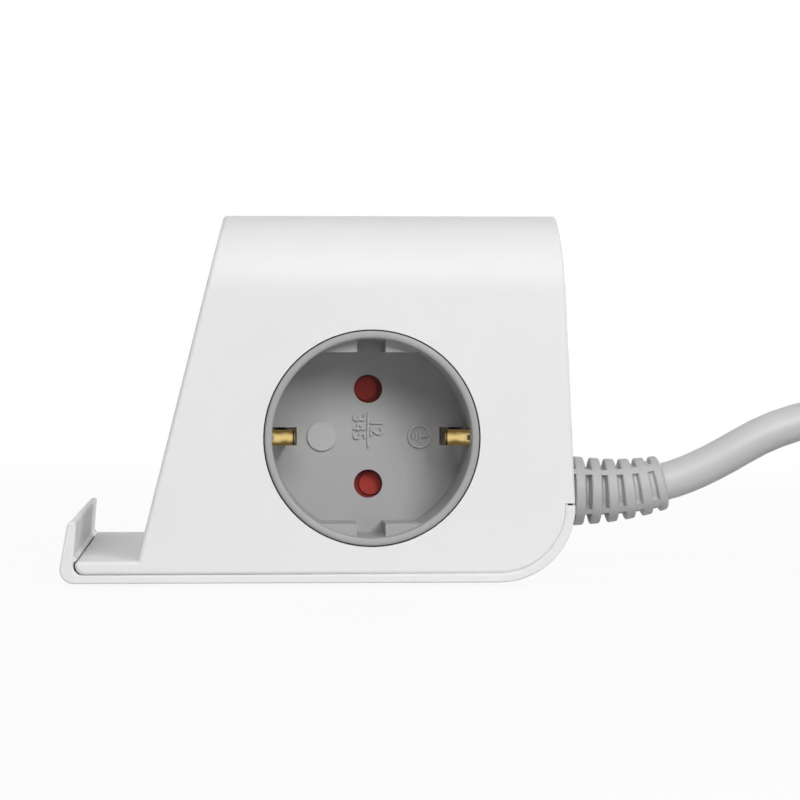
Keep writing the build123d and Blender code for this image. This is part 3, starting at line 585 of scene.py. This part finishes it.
def coil_points():
    """Turns from the top outer lane inward, down, and outward again along the bottom."""
    points = []
    for step in range(int(COIL_TURNS * POINTS_PER_TURN) + 1):
        turn = step / POINTS_PER_TURN
        angle = 2 * math.pi * turn
        radius = eased(turn, LANE_STOPS)
        across = COIL_CENTRE + radius * Vector((math.sin(angle), math.cos(angle)))
        points.append((across.x, across.y, eased(turn, LEVEL_STOPS)))
    return points


def in_metres(route):
    return [tuple(value * MM for value in point) for point in route]


def cord_curve(name, points, diameter):
    data = bpy.data.curves.new(name, "CURVE")
    data.dimensions = "3D"
    data.bevel_depth = diameter / 2
    data.bevel_resolution = 6
    data.resolution_u = 6
    data.use_fill_caps = True
    spline = data.splines.new("NURBS")
    spline.points.add(len(points) - 1)
    for control, point in zip(spline.points, points):
        control.co = (*point, 1.0)
    spline.order_u = 3
    spline.use_endpoint_u = True
    piece = bpy.data.objects.new(name, data)
    bpy.context.collection.objects.link(piece)
    return piece


def strap():
    """Strap drawn tight round the turns that pass its place, as the hull of their sections."""
    turns = [Vector((radius, HIGH_TURN_Z)) for radius in LANES[:2]]
    turns += [Vector((radius, LOW_TURN_Z)) for radius in LANES]
    bm = bmesh.new()
    rings = []
    for reach in (STRAP_INNER, STRAP_INNER + STRAP_THICK):
        for strip in range(STRAP_STRIPS + 1):
            along = STRAP_HALF_WIDTH * (2 * strip / STRAP_STRIPS - 1)
            ring = []
            for step in range(STRAP_STEPS):
                angle = 2 * math.pi * step / STRAP_STEPS
                way = Vector((math.cos(angle), math.sin(angle)))
                point = max(turns, key=way.dot) + reach * way
                across = math.sqrt(point.x**2 - along**2)
                ring.append(bm.verts.new((COIL_CENTRE.x + across, COIL_CENTRE.y + along, point.y)))
            rings.append(ring)
    rings = rings[: STRAP_STRIPS + 1] + rings[:STRAP_STRIPS:-1]
    for first, second in zip(rings, rings[1:] + rings[:1]):
        for step in range(STRAP_STEPS):
            after = (step + 1) % STRAP_STEPS
            bm.faces.new((first[step], first[after], second[after], second[step]))
    return bm


tie = add_piece("cord_strap", strap(), "tie_fabric", SMOOTH_BELOW)
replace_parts(tie, "cord_tie")
cord_points = in_metres(CORD_ROUTE) + coil_points() + in_metres(TAIL_ROUTE)
cord = cord_curve("mains_cord", cord_points, CORD_DIAMETER)
dress(cord, "grey_sheath")
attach(cord, "housing")
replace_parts(cord, "cord_tube", "cord_coil", "cord_tail")


# Stage
def plane(name, corners):
    mesh = bpy.data.meshes.new(name)
    mesh.from_pydata(corners, [], [(0, 1, 2, 3)])
    piece = bpy.data.objects.new(name, mesh)
    bpy.context.collection.objects.link(piece)
    return piece


def seen_share(tree):
    """1 for camera, glossy and transmission rays, else 0."""
    rays = tree.nodes.new("ShaderNodeLightPath")
    total = rays.outputs["Is Camera Ray"]
    for name in ("Is Glossy Ray", "Is Transmission Ray"):
        larger = tree.nodes.new("ShaderNodeMath")
        larger.operation = "MAXIMUM"
        tree.links.new(total, larger.inputs[0])
        tree.links.new(rays.outputs[name], larger.inputs[1])
        total = larger.outputs[0]
    return total


def floor_material():
    """Grey floor that looks white, or nearly so round the object, where it takes a faint shadow."""
    surface = Surface("stage_floor", FLOOR_COLOUR, 0.5)
    surface.vary_colour(surface.noise(FLOOR_SCALE), FLOOR_SPREAD)
    distance = surface.add("ShaderNodeVectorMath")
    distance.operation = "LENGTH"
    surface.join(surface.place, distance.inputs[0])
    share = surface.add("ShaderNodeMapRange")
    share.interpolation_type = "SMOOTHSTEP"
    share.inputs["From Min"].default_value = SHADOW_NEAR
    share.inputs["From Max"].default_value = SHADOW_FAR
    share.inputs["To Min"].default_value = GLOW_NEAR
    share.inputs["To Max"].default_value = GLOW_FAR
    surface.join(distance.outputs["Value"], share.inputs["Value"])
    part_seen = surface.calc("MULTIPLY", seen_share(surface.tree), share.outputs["Result"])
    glow = surface.add("ShaderNodeEmission")
    mix = surface.add("ShaderNodeMixShader")
    surface.join(part_seen, mix.inputs["Fac"])
    surface.join(surface.shader.outputs[0], mix.inputs[1])
    surface.join(glow.outputs[0], mix.inputs[2])
    surface.join(mix.outputs[0], surface.tree.nodes["Material Output"].inputs["Surface"])
    return surface.material


floor = plane(
    "stage_floor",
    [
        (-FLOOR_HALF, -FLOOR_HALF, 0.0),
        (FLOOR_HALF, -FLOOR_HALF, 0.0),
        (FLOOR_HALF, FLOOR_HALF, 0.0),
        (-FLOOR_HALF, FLOOR_HALF, 0.0),
    ],
)
floor.data.materials.append(floor_material())

# Light
world = bpy.data.worlds.new("studio")
bpy.context.scene.world = world
world.use_nodes = True
world_tree = world.node_tree
background = world_tree.nodes["Background"]
background.inputs["Color"].default_value = (1.0, 1.0, 1.0, 1.0)
level = world_tree.nodes.new("ShaderNodeMapRange")
level.inputs["To Min"].default_value = WORLD_LIGHT
level.inputs["To Max"].default_value = 1.0
world_tree.links.new(seen_share(world_tree), level.inputs["Value"])
world_tree.links.new(level.outputs["Result"], background.inputs["Strength"])

for name, (place, size, power) in SOFTBOXES.items():
    lamp_data = bpy.data.lights.new(name, "AREA")
    lamp_data.shape = "RECTANGLE"
    lamp_data.size, lamp_data.size_y = size
    lamp_data.energy = power
    lamp = bpy.data.objects.new(name, lamp_data)
    lamp.location = place
    lamp.rotation_euler = (BODY_MIDDLE - Vector(place)).to_track_quat("-Z", "Y").to_euler()
    bpy.context.collection.objects.link(lamp)

# Camera
camera_data = bpy.data.cameras.new("camera")
camera_data.lens = CAMERA_LENS
camera_data.sensor_width = SENSOR_WIDTH
camera = bpy.data.objects.new("camera", camera_data)
camera.location = CAMERA_PLACE
camera.rotation_euler = CAMERA_AIM.to_track_quat("-Z", "Y").to_euler()
bpy.context.collection.objects.link(camera)
bpy.context.scene.camera = camera
bpy.context.scene.view_settings.view_transform = "Standard"
